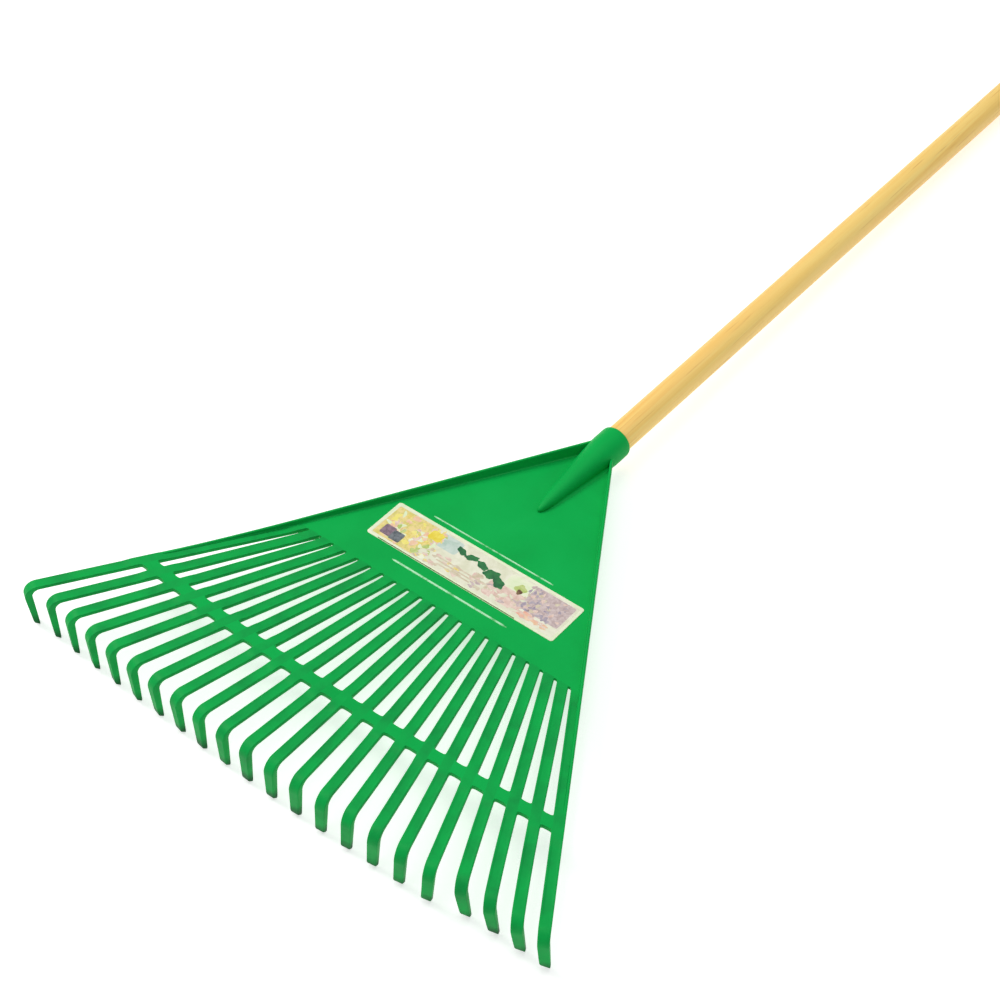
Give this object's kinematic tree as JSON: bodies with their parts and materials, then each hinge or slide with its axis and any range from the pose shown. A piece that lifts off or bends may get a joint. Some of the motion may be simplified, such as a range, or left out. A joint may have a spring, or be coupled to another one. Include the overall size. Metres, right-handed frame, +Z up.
{
  "type": "leaf rake",
  "caption": "Fan-shaped plastic leaf rake head with sprung hooked tines, a crossbar and edge rims, on a straight round wooden handle.",
  "frame": {"origin": "on the floor under the middle of the rake's bounding box, with the rake lying at rest on its tine tips and the handle's free end", "axes": "+Z up; +Y from the tine tips to the handle's free end; X across the fan, whose left and right halves mirror about X = 0"},
  "size_m": [0.5254, 1.5675, 0.0434],
  "materials": {
    "head_plastic": "moulded polypropylene, slight sheen",
    "sticker": null,
    "handle_wood": "clear lacquered light hardwood",
    "screw_steel": "zinc plated"
  },
  "bodies": {
    "head": {"fan_plate": "head_plastic", "socket": "head_plastic", "plate_ribs": "head_plastic", "rim_left": "head_plastic", "rim_right": "head_plastic", "inner_tines": "head_plastic", "crossbar": "head_plastic", "tine_roots": "head_plastic", "label": "sticker", "handle": "handle_wood", "screw": "screw_steel"},
    "tine_01": {"tine_01": "head_plastic"},
    "tine_02": {"tine_02": "head_plastic"},
    "tine_03": {"tine_03": "head_plastic"},
    "tine_04": {"tine_04": "head_plastic"},
    "tine_05": {"tine_05": "head_plastic"},
    "tine_06": {"tine_06": "head_plastic"},
    "tine_07": {"tine_07": "head_plastic"},
    "tine_08": {"tine_08": "head_plastic"},
    "tine_09": {"tine_09": "head_plastic"},
    "tine_10": {"tine_10": "head_plastic"},
    "tine_11": {"tine_11": "head_plastic"},
    "tine_12": {"tine_12": "head_plastic"},
    "tine_13": {"tine_13": "head_plastic"},
    "tine_14": {"tine_14": "head_plastic"},
    "tine_15": {"tine_15": "head_plastic"},
    "tine_16": {"tine_16": "head_plastic"},
    "tine_17": {"tine_17": "head_plastic"},
    "tine_18": {"tine_18": "head_plastic"},
    "tine_19": {"tine_19": "head_plastic"},
    "tine_20": {"tine_20": "head_plastic"},
    "tine_21": {"tine_21": "head_plastic"},
    "tine_22": {"tine_22": "head_plastic"}
  },
  "joints": [
    {"name": "tine_01_flex", "type": "hinge", "parent": "head", "child": "tine_01", "pos_m": [-0.22038, -0.71039, 0.03598], "axis": [-0.8522, 0.5222, -0.0335], "range_deg": [-8, 16], "stiffness_Nm_per_rad": 0.85},
    {"name": "tine_02_flex", "type": "hinge", "parent": "head", "child": "tine_02", "pos_m": [-0.20047, -0.71233, 0.0361], "axis": [-0.8742, 0.4846, -0.0311], "range_deg": [-8, 16], "stiffness_Nm_per_rad": 0.87},
    {"name": "tine_03_flex", "type": "hinge", "parent": "head", "child": "tine_03", "pos_m": [-0.18025, -0.7141, 0.03621], "axis": [-0.8955, 0.4442, -0.0285], "range_deg": [-8, 16], "stiffness_Nm_per_rad": 0.88},
    {"name": "tine_04_flex", "type": "hinge", "parent": "head", "child": "tine_04", "pos_m": [-0.15974, -0.71568, 0.03631], "axis": [-0.9158, 0.4008, -0.0257], "range_deg": [-8, 16], "stiffness_Nm_per_rad": 0.9},
    {"name": "tine_05_flex", "type": "hinge", "parent": "head", "child": "tine_05", "pos_m": [-0.13898, -0.71709, 0.0364], "axis": [-0.9348, 0.3546, -0.0227], "range_deg": [-8, 16], "stiffness_Nm_per_rad": 0.91},
    {"name": "tine_06_flex", "type": "hinge", "parent": "head", "child": "tine_06", "pos_m": [-0.11799, -0.71831, 0.03648], "axis": [-0.952, 0.3055, -0.0196], "range_deg": [-8, 16], "stiffness_Nm_per_rad": 0.92},
    {"name": "tine_07_flex", "type": "hinge", "parent": "head", "child": "tine_07", "pos_m": [-0.09681, -0.71933, 0.03655], "axis": [-0.9671, 0.254, -0.0163], "range_deg": [-8, 16], "stiffness_Nm_per_rad": 0.93},
    {"name": "tine_08_flex", "type": "hinge", "parent": "head", "child": "tine_08", "pos_m": [-0.07546, -0.72016, 0.0366], "axis": [-0.9797, 0.2001, -0.0128], "range_deg": [-8, 16], "stiffness_Nm_per_rad": 0.94},
    {"name": "tine_09_flex", "type": "hinge", "parent": "head", "child": "tine_09", "pos_m": [-0.054, -0.72079, 0.03664], "axis": [-0.9895, 0.1444, -0.0093], "range_deg": [-8, 16], "stiffness_Nm_per_rad": 0.95},
    {"name": "tine_10_flex", "type": "hinge", "parent": "head", "child": "tine_10", "pos_m": [-0.03243, -0.7212, 0.03667], "axis": [-0.9962, 0.0872, -0.0056], "range_deg": [-8, 16], "stiffness_Nm_per_rad": 0.96},
    {"name": "tine_11_flex", "type": "hinge", "parent": "head", "child": "tine_11", "pos_m": [-0.01082, -0.72142, 0.03668], "axis": [-0.9996, 0.0292, -0.0019], "range_deg": [-8, 16], "stiffness_Nm_per_rad": 0.96},
    {"name": "tine_12_flex", "type": "hinge", "parent": "head", "child": "tine_12", "pos_m": [0.01082, -0.72142, 0.03668], "axis": [-0.9996, -0.0292, 0.0019], "range_deg": [-8, 16], "stiffness_Nm_per_rad": 0.96},
    {"name": "tine_13_flex", "type": "hinge", "parent": "head", "child": "tine_13", "pos_m": [0.03243, -0.7212, 0.03667], "axis": [-0.9962, -0.0872, 0.0056], "range_deg": [-8, 16], "stiffness_Nm_per_rad": 0.96},
    {"name": "tine_14_flex", "type": "hinge", "parent": "head", "child": "tine_14", "pos_m": [0.054, -0.72079, 0.03664], "axis": [-0.9895, -0.1444, 0.0093], "range_deg": [-8, 16], "stiffness_Nm_per_rad": 0.95},
    {"name": "tine_15_flex", "type": "hinge", "parent": "head", "child": "tine_15", "pos_m": [0.07546, -0.72016, 0.0366], "axis": [-0.9797, -0.2001, 0.0128], "range_deg": [-8, 16], "stiffness_Nm_per_rad": 0.94},
    {"name": "tine_16_flex", "type": "hinge", "parent": "head", "child": "tine_16", "pos_m": [0.09681, -0.71933, 0.03655], "axis": [-0.9671, -0.254, 0.0163], "range_deg": [-8, 16], "stiffness_Nm_per_rad": 0.93},
    {"name": "tine_17_flex", "type": "hinge", "parent": "head", "child": "tine_17", "pos_m": [0.11799, -0.71831, 0.03648], "axis": [-0.952, -0.3055, 0.0196], "range_deg": [-8, 16], "stiffness_Nm_per_rad": 0.92},
    {"name": "tine_18_flex", "type": "hinge", "parent": "head", "child": "tine_18", "pos_m": [0.13898, -0.71709, 0.0364], "axis": [-0.9348, -0.3546, 0.0227], "range_deg": [-8, 16], "stiffness_Nm_per_rad": 0.91},
    {"name": "tine_19_flex", "type": "hinge", "parent": "head", "child": "tine_19", "pos_m": [0.15974, -0.71568, 0.03631], "axis": [-0.9158, -0.4008, 0.0257], "range_deg": [-8, 16], "stiffness_Nm_per_rad": 0.9},
    {"name": "tine_20_flex", "type": "hinge", "parent": "head", "child": "tine_20", "pos_m": [0.18025, -0.7141, 0.03621], "axis": [-0.8955, -0.4442, 0.0285], "range_deg": [-8, 16], "stiffness_Nm_per_rad": 0.88},
    {"name": "tine_21_flex", "type": "hinge", "parent": "head", "child": "tine_21", "pos_m": [0.20047, -0.71233, 0.0361], "axis": [-0.8742, -0.4846, 0.0311], "range_deg": [-8, 16], "stiffness_Nm_per_rad": 0.87},
    {"name": "tine_22_flex", "type": "hinge", "parent": "head", "child": "tine_22", "pos_m": [0.22038, -0.71039, 0.03598], "axis": [-0.8522, -0.5222, 0.0335], "range_deg": [-8, 16], "stiffness_Nm_per_rad": 0.85}
  ]
}
